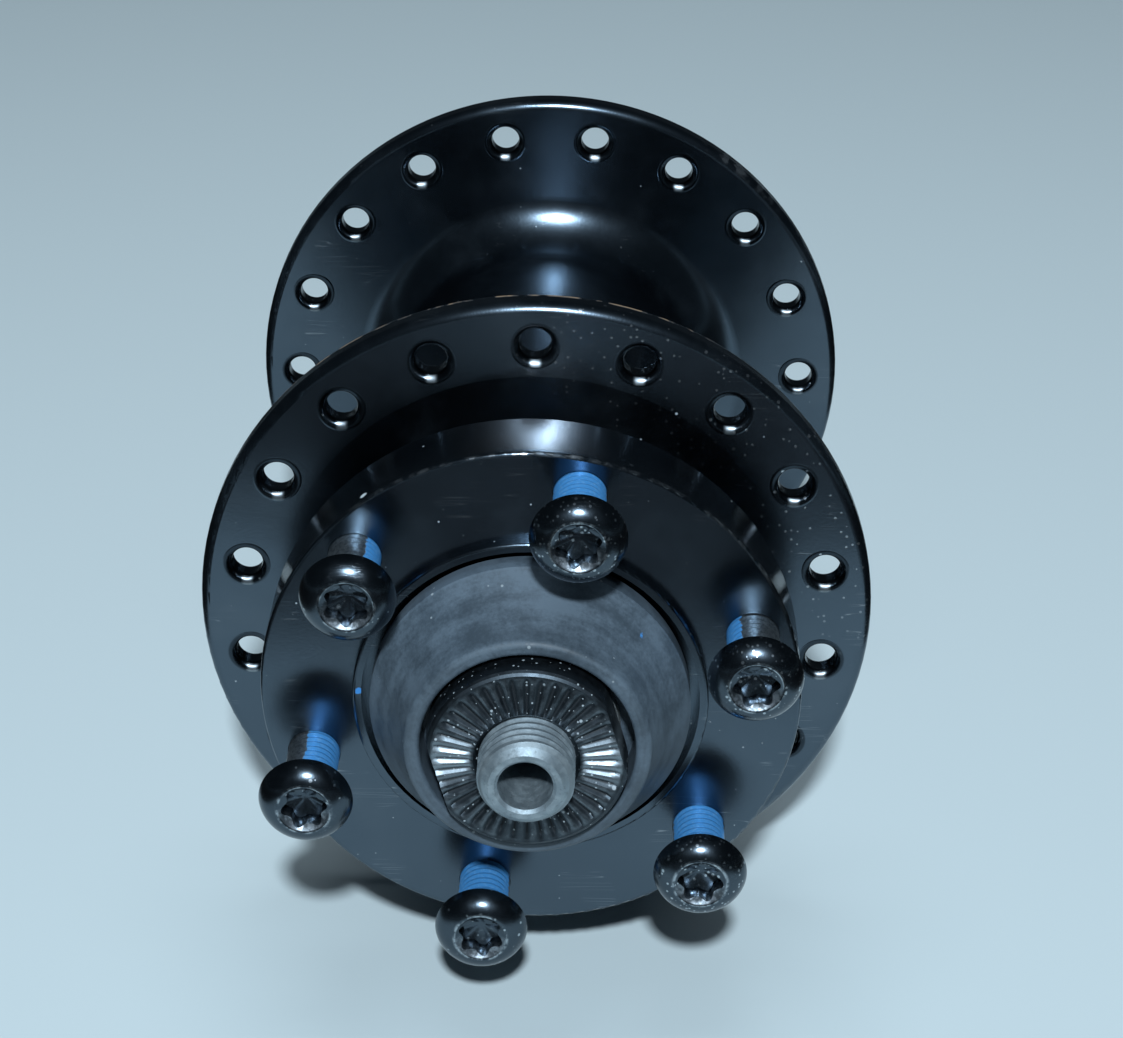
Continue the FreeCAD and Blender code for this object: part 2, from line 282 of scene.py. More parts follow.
def specks(tree, point, spacing, size, share):
    # 1 on round spots of about size mm, in a share of the cells that lie spacing mm apart
    cells = addNode(tree, "TexVoronoi", "Distance", {"Vector": point, "Scale": 1 / spacing})
    mix = addNode(tree, "SeparateColor", 0, {0: cells.node.outputs["Color"]}).node.outputs
    reach = times(tree, plus(tree, mix[1], 0.35), size / spacing)
    spot = vary(tree, calc(tree, "DIVIDE", cells, reach), 0.6, 1.0, 1.0, 0.0)
    return times(tree, spot, calc(tree, "LESS_THAN", mix[0], share))


def scratches(tree, point, turn, stretch, width, share):
    # 1 on thin broken lines, where a stretched noise passes its middle value
    stretched = addNode(tree, "Mapping", 0, {"Vector": point, "Rotation": turn, "Scale": stretch})
    line = calc(tree, "ABSOLUTE", minus(tree, noise(tree, stretched, 1.0, 1.0), 0.5))
    thin = vary(tree, line, 0.0, width, 1.0, 0.0)
    gate = vary(tree, noise(tree, point, 6.0, 2.0), 1 - share, 1.06 - share)
    return times(tree, thin, gate)


def markAt(tree, point, centre, size):
    # 1 on a ragged mark of about size mm round a given point
    apart = addNode(tree, "VectorMath", "Value", {0: point, 1: centre}, operation="DISTANCE")
    ragged = plus(tree, apart, times(tree, noise(tree, point, 0.5), size))
    return vary(tree, ragged, 0.9 * size, 1.1 * size, 1.0, 0.0)


def marks(tree, point, places):
    return most(tree, *[markAt(tree, point, centre, size) for centre, size in places])


# Modelling helpers

weldReach = 0.002 * mm
cutReach = 0.0001 * mm


def clearSelection():
    if bpy.context.mode != "OBJECT":
        bpy.ops.object.mode_set(mode="OBJECT")
    bpy.ops.object.select_all(action="DESELECT")


def pick(piece):
    clearSelection()
    piece.select_set(True)
    bpy.context.view_layer.objects.active = piece


def startEdit(piece, kind="VERT"):
    pick(piece)
    bpy.ops.object.mode_set(mode="EDIT")
    bpy.ops.mesh.select_mode(type=kind)
    bpy.ops.mesh.select_all(action="SELECT")


def leaveEdit():
    bpy.ops.object.mode_set(mode="OBJECT")


def faceOutward():
    bpy.ops.mesh.select_all(action="SELECT")
    bpy.ops.mesh.normals_make_consistent(inside=False)


def cutAway(place, outward):
    # closes the cut, and keeps the side that outward points away from
    bpy.ops.mesh.select_all(action="SELECT")
    bpy.ops.mesh.bisect(
        plane_co=place, plane_no=outward, threshold=cutReach, use_fill=True, clear_outer=True
    )


def startWire(name, first):
    clearSelection()
    bpy.ops.mesh.primitive_plane_add(size=mm)
    piece = bpy.context.object
    piece.name = name
    startEdit(piece)
    bpy.ops.mesh.merge(type="CENTER")
    bpy.ops.transform.translate(value=Vector((first[0], first[1], 0.0)) * mm)
    return piece


def extrudeAlong(corners):
    for before, after in zip(corners, corners[1:]):
        step = Vector((after[0] - before[0], after[1] - before[1], 0.0)) * mm
        bpy.ops.mesh.extrude_region_move(TRANSFORM_OT_translate={"value": step})


def roundCorners(piece, corners):
    for corner in corners:
        if len(corner) < 3:
            continue
        bpy.ops.mesh.select_all(action="DESELECT")
        leaveEdit()
        place = Vector((corner[0], corner[1], 0.0)) * mm
        nearest = min(piece.data.vertices, key=lambda v: (v.co - place).length)
        nearest.select = True
        bpy.ops.object.mode_set(mode="EDIT")
        bpy.ops.mesh.bevel(offset=corner[2] * mm, segments=5, affect="VERTICES")
    bpy.ops.mesh.select_all(action="SELECT")


def turnOutline(name, corners, steps, closed=True):
    # turns (radius, along) corners in mm about the Y axis; a third value rounds the corner
    piece = startWire(name, corners[0])
    extrudeAlong(corners)
    if closed:
        leaveEdit()
        for vertex in piece.data.vertices:
            vertex.select = vertex.index in (0, len(corners) - 1)
        bpy.ops.object.mode_set(mode="EDIT")
        bpy.ops.mesh.edge_face_add()
    roundCorners(piece, corners)
    bpy.ops.mesh.spin(steps=steps, angle=2 * math.pi, center=(0, 0, 0), axis=(0, 1, 0))
    bpy.ops.mesh.select_all(action="SELECT")
    bpy.ops.mesh.remove_doubles(threshold=weldReach)
    faceOutward()
    leaveEdit()
    return piece


def applyModifier(piece, kind, **settings):
    pick(piece)
    modifier = piece.modifiers.new(kind, kind)
    for name, value in settings.items():
        setattr(modifier, name, value)
    bpy.ops.object.modifier_apply(modifier=modifier.name)


def cutWith(piece, tool, operation="DIFFERENCE"):
    applyModifier(piece, "BOOLEAN", object=tool, operation=operation, solver="EXACT")
    bpy.data.objects.remove(tool)


def threadedRod(name, crest, root, pitch, start, end, steps=48):
    # a rod along Y with a helical thread, cut square at both ends
    flat = pitch / 8
    back = -(pitch + flat) / 2
    corners = [(root, -pitch), (root, flat - pitch), (crest, back), (crest, back + flat), (root, 0.0)]
    piece = startWire(name, corners[0])
    extrudeAlong(corners)
    leaveEdit()
    for vertex in piece.data.vertices:
        vertex.co.y += (start - 0.37 * pitch) * mm  # an odd share, so no corner lies in the end's plane
    turns = math.ceil((end - start) / pitch) + 3
    applyModifier(
        piece, "SCREW", axis="Y", angle=2 * math.pi, screw_offset=pitch * mm, iterations=turns,
        steps=steps, render_steps=steps, use_merge_vertices=False,
    )
    startEdit(piece)
    bpy.ops.mesh.remove_doubles(threshold=weldReach)
    cutAway((0, start * mm, 0), (0, -1, 0))
    cutAway((0, end * mm, 0), (0, 1, 0))
    faceOutward()
    leaveEdit()
    return piece


def pullIn(vertex, allowed):
    # moves a vertex towards the Y axis where it stands further out than allowed, in mm
    radius = math.hypot(vertex.co.x, vertex.co.z) / mm
    if radius > allowed:
        vertex.co.x *= allowed / radius
        vertex.co.z *= allowed / radius


def arcPoints(start, end, bulge, count):
    # points on the arc from start to end that stands out by bulge, to the left of the way it runs
    first, last = Vector(start), Vector(end)
    chord = last - first
    ahead = chord.normalized()
    across = Vector((-chord.y, chord.x)).normalized()
    radius = (chord.length ** 2 / 4 + bulge ** 2) / (2 * bulge)
    middle = (first + last) / 2 - across * (radius - bulge)
    spread = math.asin(chord.length / 2 / radius)
    points = []
    for i in range(count + 1):
        turn = spread * (2 * i / count - 1)
        points.append(tuple(middle + across * radius * math.cos(turn) + ahead * radius * math.sin(turn)))
    return points


def mirrored(piece, name):
    # a copy of a rotor side piece for the far end
    clearSelection()
    copy = piece.copy()
    copy.data = piece.data.copy()
    copy.name = name
    bpy.context.collection.objects.link(copy)
    for vertex in copy.data.vertices:
        vertex.co.y = -vertex.co.y
    startEdit(copy)
    faceOutward()
    leaveEdit()
    return copy


def turnAbout(piece, angle):
    turn = Matrix.Rotation(math.radians(angle), 4, "Y")
    piece.data.transform(turn)
    piece.data.update()


def finishPiece(piece, node, body, material, angle=35.0):
    pick(piece)
    bpy.ops.object.shade_smooth_by_angle(angle=math.radians(angle))
    piece.data.materials.clear()
    piece.data.materials.append(material)
    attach(piece, body)
    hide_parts(node)


# Finishes: sizes and places are in mm, as in the CAD, and turns are in radians from the top

shellLook = {
    "black": (0.09, 0.117, 0.145),
    "bareMetal": (0.52, 0.55, 0.58),
    "dust": (0.30, 0.34, 0.37),
    "dirt": (0.30, 0.20, 0.12),
    # the hole flares are painted darker, a painted shade that dims their highlight arcs
    "flarePaintedShade": (0.02, 0.026, 0.032),
    # a painted highlight dot on each hole flare
    "flareDotHighlight": (0.32, 0.36, 0.39),
    "wallHighlight": (0.25, 0.225, 0.215),  # painted highlight along the top of the plate's wall, under its rubbed edge
    "crumb": (0.04, 0.22, 0.55),
    "paleChipAndGlint": (0.55, 0.60, 0.62),
    "roughness": 0.22,
    "mattRoughness": 0.35,  # added on dust and dirt
    "dotRoughness": 0.20,
    "turnedGrain": 0.5,  # anisotropy of the lathe's marks
    "rimRadius": 33.6,
    "plateFace": -38.4,
    "plateRear": -26.0,
    "nearFace": -22.4,
    "farFace": 34.5,
    "flangeThickness": 3.0,
    "holeCircle": 29.25,
    "holeCount": 18,
    "flareRadius": 2.4,
    "flareEdge": 0.2,  # width over which a flare fades out
    "dotRadii": (1.56, 1.68),  # from a hole's middle, where a highlight dot is painted on a flare
    "dotHalfWidth": 0.5,
    "dotHeights": (-0.6, 0.0),  # under a hole's middle
    "flareSlope": 0.21,  # the hole flares stand a little flatter than their cone
    "flangeCone": 0.15,  # slope of the near flange's face at its top, which the plate's wall mirrors
    "coneStart": 26.0,
    "coneTurns": (-0.7, 0.7),
    "farFilletTilt": 0.6,  # how far the far fillet falls outward, which lifts its highlight
    "farFilletRadii": (17.0, 22.5),
    "farFilletStart": (27.5, 28.5),
    "plateEdgeRadii": (25.45, 25.7),
    "plateEdgeTurns": (-0.7, 1.15),
    "scuffRadii": (32.7, 33.3),
    "scuffTurns": (0.58, 0.86),
    "dirtRadii": (33.15, 33.4),
    "dirtTurns": (-0.95, 0.5),
    "wallRadii": (25.2, 26.2),
    "wallTurns": (-0.2, 0.2),
    "chipTurns": (0.1, 1.5),
    "zoneChips": (0.6, 0.16, 0.25),  # of specks: spacing, size and share of the cells
    "largeChips": (2.3, 0.24, 0.05),
    "smallChips": (0.9, 0.11, 0.16),
    "dustSpots": (1.7, 0.16, 0.08),
    "scratches": ((0.3, 0.9, 0.5), (0.05, 1.4, 1.4), 0.012, 0.42),  # turn, stretch, width and share
    "crumbs": [((-16.3, -39.5, 0.9), 0.7)],
    # the first mark is a painted reflection, a glint on the plate's wall; the second is a pale chip on the
    # plate's face
    "chips": [((-15.5, -37.3, 20.6), 0.7), ((23.9, -38.4, -1.5), 0.4)],
}

rubberLook = {
    "clean": (0.040, 0.055, 0.070),
    "dusty": (0.085, 0.115, 0.145),
    "pale": (0.34, 0.38, 0.40),
    "crumb": (0.05, 0.25, 0.60),
    "roughness": 0.52,
    "specular": 0.45,
    "smallSpots": (1.3, 0.16, 0.16),
    "largeSpots": (3.2, 0.45, 0.10),
    "paintedLightHeights": (-12.0, 12.0),  # the upper side is painted lighter and the lower side darker, as painted light on the dust
    "smears": [((10.2, -43.4, 5.6), 0.8), ((11.9, -44.6, -1.0), 0.9)],
    "crumbs": [((10.7, -42.6, 9.3), 0.75)],
}

nutFinish = {
    "dark": (0.055, 0.068, 0.080),
    "rubbed": (0.28, 0.325, 0.36),
    "dirt": (0.012, 0.014, 0.016),
    "dust": (0.42, 0.47, 0.50),
    "faceRadii": (5.2, 8.8),
    "dustRadii": (5.0, 8.0),  # dust is thickest round the axle
    "spotSize": (0.42, 0.12),
    "largeSpots": (1.6, 0.22, 0.15),
    "roughness": (0.40, 0.52),
}

axleFinish = {
    "steel": (0.26, 0.315, 0.35),
    "pale": (0.50, 0.57, 0.60),
    "dirt": (0.09, 0.10, 0.105),
    "valleyRadii": (4.0, 4.36),
    "metallic": (0.75, 0.25),  # on clean steel, on dirt
    "roughness": (0.50, 0.64),
}

boltFinish = {
    "black": (0.075, 0.095, 0.115),
    "bare": (0.45, 0.50, 0.54),
    # tones of the socket's lower half, painted as lit facets
    "socketDark": (0.14, 0.16, 0.18),
    "socketPale": (0.36, 0.40, 0.44),
    "patch": (0.07, 0.30, 0.66),
    "patchPale": (0.30, 0.55, 0.80),
    "patchCover": 0.6,  # how far the patch hides the metal
    "roughness": 0.20,
    "mattRoughness": 0.2,  # added on the shank and in the socket
    "chips": (0.75, 0.18, 0.07),
    "chipSize": (0.45, 0.15),
    "scratches": ((0.6, 0.2, 1.1), (0.12, 3.0, 3.0), 0.012, 0.45),  # turn, stretch, width and share
}

metalLook = {  # color, roughness and turned grain of the hidden pieces
    "ballSteel": ((0.72, 0.73, 0.74), 0.08, 0.0),
    "raceSteel": ((0.45, 0.46, 0.48), 0.22, 0.8),
    "platedSteel": ((0.55, 0.56, 0.55), 0.28, 0.7),
    "coneSteel": ((0.38, 0.40, 0.42), 0.26, 0.8),
    "washerSteel": ((0.55, 0.56, 0.55), 0.34, 0.0),
}


def turnedGrain(tree, shader, amount):
    shader.inputs["Anisotropic"].default_value = amount
    shader.inputs["Anisotropic Rotation"].default_value = 0.25
    feed(tree, shader.inputs["Tangent"], addNode(tree, "Tangent", 0, {}, direction_type="RADIAL", axis="Y"))


def bumped(tree, shader, height, distance, strength=1.0):
    sockets = {"Height": height, "Distance": distance * mm, "Strength": strength}
    feed(tree, shader.inputs["Normal"], addNode(tree, "Bump", 0, sockets))


def holeFlare(tree, place):
    # the height that lies up against each spoke hole's edge, 1 on the flare and 1 where a highlight dot is
    # painted
    look = shellLook
    circle, flareRadius = look["holeCircle"], look["flareRadius"]
    step = 2 * math.pi / look["holeCount"]
    # the far holes stand half a step round
    halfStep = times(tree, calc(tree, "GREATER_THAN", place["y"], 0.0), 0.5)
    count = plus(tree, calc(tree, "DIVIDE", place["turn"], step), plus(tree, halfStep, 0.5))
    local = times(tree, minus(tree, calc(tree, "FRACT", count), 0.5), step)
    across = times(tree, local, place["radius"])
    up = minus(tree, place["radius"], circle)
    reach = calc(tree, "SQRT", plus(tree, times(tree, across, across), times(tree, up, up)))
    inside = most(tree, minus(tree, flareRadius, reach), 0.0)
    onFlare = vary(tree, reach, flareRadius - look["flareEdge"], flareRadius, 1.0, 0.0)
    # the flare's lowest point, where it mirrors the lamp, gets a painted highlight dot of brighter, rougher
    # metal
    middle = minus(tree, place["turn"], local)
    sideways = minus(tree, place["x"], times(tree, calc(tree, "SINE", middle), circle))
    upward = minus(tree, place["z"], times(tree, calc(tree, "COSINE", middle), circle))
    halfWidth = look["dotHalfWidth"]
    lowest = times(
        tree, within(tree, sideways, -halfWidth, halfWidth, halfWidth / 2),
        vary(tree, upward, *look["dotHeights"], 1.0, 0.0),
    )
    highlightDot = times(tree, lowest, vary(tree, reach, *look["dotRadii"]), onFlare)
    return times(tree, inside, look["flareSlope"]), onFlare, highlightDot


def shellMarks(tree, place):
    # where the shell is rubbed bare or chipped, dusty and dirty, each from 0 to 1
    look = shellLook
    point, radius, along, turn = place["point"], place["radius"], place["y"], place["turn"]
    plateFace, near, far = look["plateFace"], look["nearFace"], look["farFace"]
    rear = near + look["flangeThickness"]
    ragged = noise(tree, point, 1.6)
    # the plate's front edge is rubbed bright along its upper part
    rubbed = times(
        tree, vary(tree, radius, *look["plateEdgeRadii"]),
        within(tree, along, plateFace - 0.15, plateFace + 0.3, 0.12),
        within(tree, turn, *look["plateEdgeTurns"], 0.1), vary(tree, ragged, 0.44, 0.58),
    )
    # the far rim is scuffed at one place
    scuff = times(
        tree, vary(tree, radius, *look["scuffRadii"]), vary(tree, along, far - 0.2, far + 0.3),
        within(tree, turn, *look["scuffTurns"], 0.08), vary(tree, ragged, 0.46, 0.56),
    )
    # chips are thickest at the right of the near flange
    chipZone = times(
        tree, within(tree, along, near - 0.5, rear + 0.5, 0.3), within(tree, turn, *look["chipTurns"], 0.3)
    )
    fewChips = most(tree, specks(tree, point, *look["largeChips"]), specks(tree, point, *look["smallChips"]))
    chips = most(tree, times(tree, specks(tree, point, *look["zoneChips"]), chipZone), fewChips)
    lines = times(tree, scratches(tree, point, *look["scratches"]), 0.35)
    smudge = times(tree, vary(tree, noise(tree, point, 9.0), 0.45, 0.8), 0.05)
    dust = most(tree, specks(tree, point, *look["dustSpots"]), smudge)
    # dirt lies along the near flange's rear edge
    dirt = times(
        tree, vary(tree, radius, *look["dirtRadii"]), within(tree, along, rear - 1.0, rear + 0.1, 0.15),
        within(tree, turn, *look["dirtTurns"], 0.1), vary(tree, ragged, 0.42, 0.6),
    )
    return most(tree, rubbed, scuff, chips, lines), dust, dirt


def shellSlopes(tree, place, flare):
    # heights that tilt the near flange's face, the far fillet and the flares without changing their shape
    look = shellLook
    radius, along, turn, near = place["radius"], place["y"], place["turn"], look["nearFace"]
    outside = minus(tree, look["rimRadius"], most(tree, radius, look["coneStart"]))
    atTop = within(tree, turn, *look["coneTurns"], 0.5)
    cone = times(tree, outside, look["flangeCone"], atTop, within(tree, along, near - 1.1, near + 1.5, 0.4))
    fall = vary(tree, radius, *look["farFilletRadii"], 0.0, -look["farFilletTilt"])
    fillet = times(tree, fall, vary(tree, along, *look["farFilletStart"]))
    return plus(tree, cone, fillet, flare)


def makeShellFinish():
    look = shellLook
    material, tree, shader = newMaterial("blackShell")
    place = objectPlace(tree)
    point, plateFace = place["point"], look["plateFace"]
    flare, onFlare, highlightDot = holeFlare(tree, place)
    bare, dust, dirt = shellMarks(tree, place)
    crumb = marks(tree, point, look["crumbs"])
    chipAndGlint = marks(tree, point, look["chips"])
    # the top of the plate's wall gets a painted highlight, lighter than the black shell
    wall = times(
        tree, within(tree, place["radius"], *look["wallRadii"], 0.1),
        within(tree, place["y"], plateFace + 0.6, look["plateRear"], 0.5),
        within(tree, place["turn"], *look["wallTurns"], 0.12),
    )
    color = blend(tree, wall, look["black"], look["wallHighlight"])
    # painted shade on the hole flares
    color = blend(tree, times(tree, onFlare, 0.75), color, look["flarePaintedShade"])
    # a painted highlight dot at each flare's lowest point
    color = blend(tree, highlightDot, color, look["flareDotHighlight"])
    color = blend(tree, bare, color, look["bareMetal"])
    color = blend(tree, dust, color, look["dust"])
    color = blend(tree, dirt, color, look["dirt"])
    color = blend(tree, crumb, color, look["crumb"])
    # a pale chip, and a painted glint on the plate's wall
    color = blend(tree, chipAndGlint, color, look["paleChipAndGlint"])
    feed(tree, shader.inputs["Base Color"], color)
    matt = most(tree, dust, dirt, crumb, chipAndGlint)
    feed(tree, shader.inputs["Metallic"], minus(tree, 1.0, matt))
    roughness = look["roughness"]
    uneven = vary(tree, noise(tree, point, 5.0), 0.3, 0.7, roughness - 0.015, roughness + 0.02)
    addedMatt = times(tree, matt, look["mattRoughness"])
    addedDotRoughness = times(tree, highlightDot, look["dotRoughness"])
    feed(tree, shader.inputs["Roughness"], plus(tree, uneven, addedMatt, addedDotRoughness))
    turnedGrain(tree, shader, look["turnedGrain"])
    fine = plus(tree, noise(tree, point, 0.25, 2.0), times(tree, bare, -0.8))
    heights = plus(tree, shellSlopes(tree, place, flare), times(tree, fine, 0.004))
    bumped(tree, shader, heights, 1.0)
    return material


def makeRubberFinish():
    look = rubberLook
    material, tree, shader = newMaterial("bootRubber")
    place = objectPlace(tree)
    point = place["point"]
    ringPoint = addNode(tree, "CombineXYZ", 0, {0: place["radius"], 1: times(tree, place["turn"], 0.8)})
    rings = noise(tree, ringPoint, 0.7, 3.0)
    blotches = noise(tree, point, 4.5, 5.0, 0.65)
    grains = noise(tree, point, 0.35, 2.0)
    dust = plus(tree, times(tree, rings, 0.45), times(tree, blotches, 0.75), times(tree, grains, 0.25))
    # dust, with painted light that makes the upper side lighter and the lower side darker
    height = vary(tree, place["z"], *look["paintedLightHeights"], 0.75, 1.25)
    dust = times(tree, vary(tree, dust, 0.52, 0.95), height)
    spots = most(tree, specks(tree, point, *look["smallSpots"]), specks(tree, point, *look["largeSpots"]))
    color = blend(tree, dust, look["clean"], look["dusty"])
    color = blend(tree, times(tree, spots, 0.6), color, look["pale"])
    color = blend(tree, times(tree, marks(tree, point, look["smears"]), 0.5), color, look["pale"])
    color = blend(tree, marks(tree, point, look["crumbs"]), color, look["crumb"])
    feed(tree, shader.inputs["Base Color"], color)
    roughness = look["roughness"]
    feed(tree, shader.inputs["Roughness"], vary(tree, dust, 0.0, 1.0, roughness - 0.06, roughness + 0.16))
    shader.inputs["Specular IOR Level"].default_value = look["specular"]
    bumped(tree, shader, plus(tree, grains, times(tree, rings, 0.8)), 0.03, 0.5)
    return material


def makeNutFinish():
    look = nutFinish
    material, tree, shader = newMaterial("nutSteel")
    place = objectPlace(tree)
    point, radius = place["point"], place["radius"]
    depth = attributeValue(tree, "grooveDepth")
    onFace = within(tree, radius, *look["faceRadii"], 0.2)
    worn = vary(tree, noise(tree, point, 1.2), 0.38, 0.62, 0.05, 0.4)
    crest = times(tree, vary(tree, depth, 0.0, 0.45, 1.0, 0.0), onFace, worn)
    # the teeth at both sides are painted bright, a painted highlight where their flanks mirror the lamp
    sideways = vary(tree, calc(tree, "ABSOLUTE", calc(tree, "COSINE", place["turn"])), 0.12, 0.42, 1.0, 0.0)
    sideHighlights = times(tree, sideways, onFace, vary(tree, depth, 0.7, 0.9, 1.0, 0.0))
    dirt = times(tree, vary(tree, depth, 0.6, 1.0), 0.75)
    share = vary(tree, radius, *look["dustRadii"], 0.6, 0.2)
    spots = specks(tree, point, *look["spotSize"], share)
    dust = most(tree, spots, specks(tree, point, *look["largeSpots"]))
    # the rubbed colour paints worn crests and the painted highlights on the side teeth
    color = blend(tree, most(tree, crest, sideHighlights), look["dark"], look["rubbed"])
    color = blend(tree, dirt, color, look["dirt"])
    color = blend(tree, times(tree, dust, 0.75), color, look["dust"])
    feed(tree, shader.inputs["Base Color"], color)
    feed(tree, shader.inputs["Metallic"], minus(tree, 1.0, most(tree, dirt, dust)))
    feed(tree, shader.inputs["Roughness"], vary(tree, noise(tree, point, 0.9), 0.3, 0.7, *look["roughness"]))
    bumped(tree, shader, noise(tree, point, 0.22, 3.0), 0.02, 0.4)
    return material


def makeAxleFinish():
    look = axleFinish
    material, tree, shader = newMaterial("axleSteel")
    place = objectPlace(tree)
    point = place["point"]
    valley = times(tree, within(tree, place["radius"], *look["valleyRadii"], 0.05), 0.35)
    mottled = vary(tree, noise(tree, point, 1.1), 0.35, 0.75)
    grime = times(tree, vary(tree, noise(tree, point, 0.5), 0.52, 0.7), 0.5)
    dirt = most(tree, valley, grime)
    color = blend(tree, times(tree, mottled, 0.45), look["steel"], look["pale"])
    feed(tree, shader.inputs["Base Color"], blend(tree, dirt, color, look["dirt"]))
    feed(tree, shader.inputs["Metallic"], vary(tree, dirt, 0.0, 1.0, *look["metallic"]))
    feed(tree, shader.inputs["Roughness"], vary(tree, mottled, 0.0, 1.0, *look["roughness"]))
    bumped(tree, shader, noise(tree, point, 0.18, 3.0), 0.02, 0.5)
    return material


def makeBoltFinish():
    look = boltFinish
    material, tree, shader = newMaterial("boltSteel")
    point = objectPlace(tree)["point"]
    patch, worn, shank, socket, chipped = [
        attributeValue(tree, name) for name in ("bluePatch", "wornEdge", "shank", "socket", "chipped")
    ]
    ragged = noise(tree, point, 0.7)
    blue = vary(tree, plus(tree, patch, times(tree, minus(tree, ragged, 0.5), 0.7)), 0.45, 0.55)
    ownChips = specks(tree, point, *look["chipSize"], times(tree, chipped, 0.5))
    chips = most(tree, specks(tree, point, *look["chips"]), ownChips)
    lines = times(tree, scratches(tree, point, *look["scratches"]), 0.5)
    edge = times(tree, worn, vary(tree, ragged, 0.42, 0.62))
    shankBare = times(tree, shank, vary(tree, noise(tree, point, 0.3), 0.35, 0.65, 0.45, 0.95))
    bare = most(tree, edge, chips, lines, shankBare)
    # the socket's lower half is painted as lighter facets, a painted highlight, mottled between dark and pale
    facetNoise = vary(tree, noise(tree, point, 0.5, 3.0), 0.42, 0.62)
    facets = blend(tree, facetNoise, look["socketDark"], look["socketPale"])
    color = blend(tree, bare, blend(tree, socket, look["black"], facets), look["bare"])
    flecks = times(tree, vary(tree, noise(tree, point, 0.3), 0.45, 0.75), 0.35)
    flecked = blend(tree, flecks, look["patch"], look["patchPale"])
    feed(tree, shader.inputs["Base Color"], blend(tree, blue, color, flecked))
    feed(tree, shader.inputs["Metallic"], minus(tree, 1.0, times(tree, blue, look["patchCover"])))
    uneven = vary(tree, noise(tree, point, 1.5), 0.3, 0.7, look["roughness"], look["roughness"] + 0.06)
    matt = times(tree, most(tree, shank, socket), look["mattRoughness"])
    feed(tree, shader.inputs["Roughness"], plus(tree, uneven, matt))
    dents = plus(tree, noise(tree, point, 0.35, 3.0), times(tree, bare, -0.5))
    bumped(tree, shader, dents, 0.02, 0.3)
    return material


def makeMetalFinish(name):
    color, roughness, grain = metalLook[name]
    material, tree, shader = newMaterial(name)
    point = objectPlace(tree)["point"]
    stain = vary(tree, noise(tree, point, 2.5), 0.45, 0.8, 0.0, 0.5)
    dark = tuple(part * 0.45 for part in color)
    feed(tree, shader.inputs["Base Color"], blend(tree, stain, color, dark))
    shader.inputs["Metallic"].default_value = 1.0
    uneven = vary(tree, noise(tree, point, 0.8), 0.3, 0.7, roughness, roughness + 0.12)
    feed(tree, shader.inputs["Roughness"], uneven)
    if grain:
        turnedGrain(tree, shader, grain)
    bumped(tree, shader, noise(tree, point, 0.2, 2.0), 0.01, 0.3)
    return material


blackShell = makeShellFinish()
rubber = makeRubberFinish()
nutSteel = makeNutFinish()
axleSteel = makeAxleFinish()
boltSteel = makeBoltFinish()
print("finishes made")


# Axle

axleLook = {
    "length": 109.0,
    "crestRadius": 4.5,
    "rootRadius": 4.28,
    "pitch": 1.0,
    "endBevel": 1.1,
    "boreRadius": 2.55,
    "boreBevel": 0.3,
}


def makeAxle():
    look = axleLook
    half = look["length"] / 2
    piece = threadedRod("axle_detail", look["crestRadius"], look["rootRadius"], look["pitch"], -half, half)
    for vertex in piece.data.vertices:
        pullIn(vertex, look["crestRadius"] - look["endBevel"] + half - abs(vertex.co.y) / mm)
    bore, bevel = look["boreRadius"], look["boreBevel"]
    past = 1.0  # how far the drill runs past the ends, along and outward
    wide, tip = bore + bevel + past, half + past
    drill = turnOutline("axle_drill", [
        (0.0, -tip), (wide, -tip), (bore, bevel - half), (bore, half - bevel), (wide, tip), (0.0, tip),
    ], steps=72, closed=False)
    cutWith(piece, drill)
    finishPiece(piece, "axle", "axle_set", axleSteel)


makeAxle()
print("axle made")


# Locknuts

locknutLook = {
    "radius": 9.5,
    "boreRadius": 4.5,
    "back": 45.0,
    "face": 50.0,
    "backBevel": 0.35,
    "edgeRounding": 0.8,
    "edgeSteps": 4,
    "boreBevel": 0.45,
    "acrossFlats": 17.0,
    "teeth": 40,
    "grooveInner": (5.3, 0.22),  # radius, depth
    "grooveOuter": (8.3, 0.38),
    "grooveEnd": 8.95,
    "toothPhases": (0.0, 0.14, 0.32, 0.5, -0.32, -0.14),  # steps across one tooth, from groove to groove
    "toothCuts": (1.0, 0.62, 0.16, 0.0, 0.16, 0.62),  # share of the groove's depth at each step
    "faceRings": 7,
    "flatsTurn": {"rotor_side": -15.5, "far_side": 20.0},
}


def turnLocknut():
    look = locknutLook
    outer, bore = look["radius"], look["boreRadius"]
    back, face = look["back"], look["face"]
    bevel, rounding = look["backBevel"], look["edgeRounding"]
    flatEnd, innerEnd = outer - rounding, look["grooveInner"][0]
    corners = [(bore, -back), (outer - bevel, -back), (outer, -back - bevel)]
    for step in range(look["edgeSteps"] + 1):
        lean = math.pi / 2 * step / look["edgeSteps"]
        corners.append((flatEnd + rounding * math.cos(lean), rounding - rounding * math.sin(lean) - face))
    rings = look["faceRings"]
    for ring in range(rings - 1, -1, -1):
        corners.append((innerEnd + (flatEnd - innerEnd) * ring / rings, -face))
    corners += [(bore + look["boreBevel"], -face), (bore, look["boreBevel"] - face)]
    return turnOutline("locknut_detail", corners, steps=len(look["toothCuts"]) * look["teeth"])


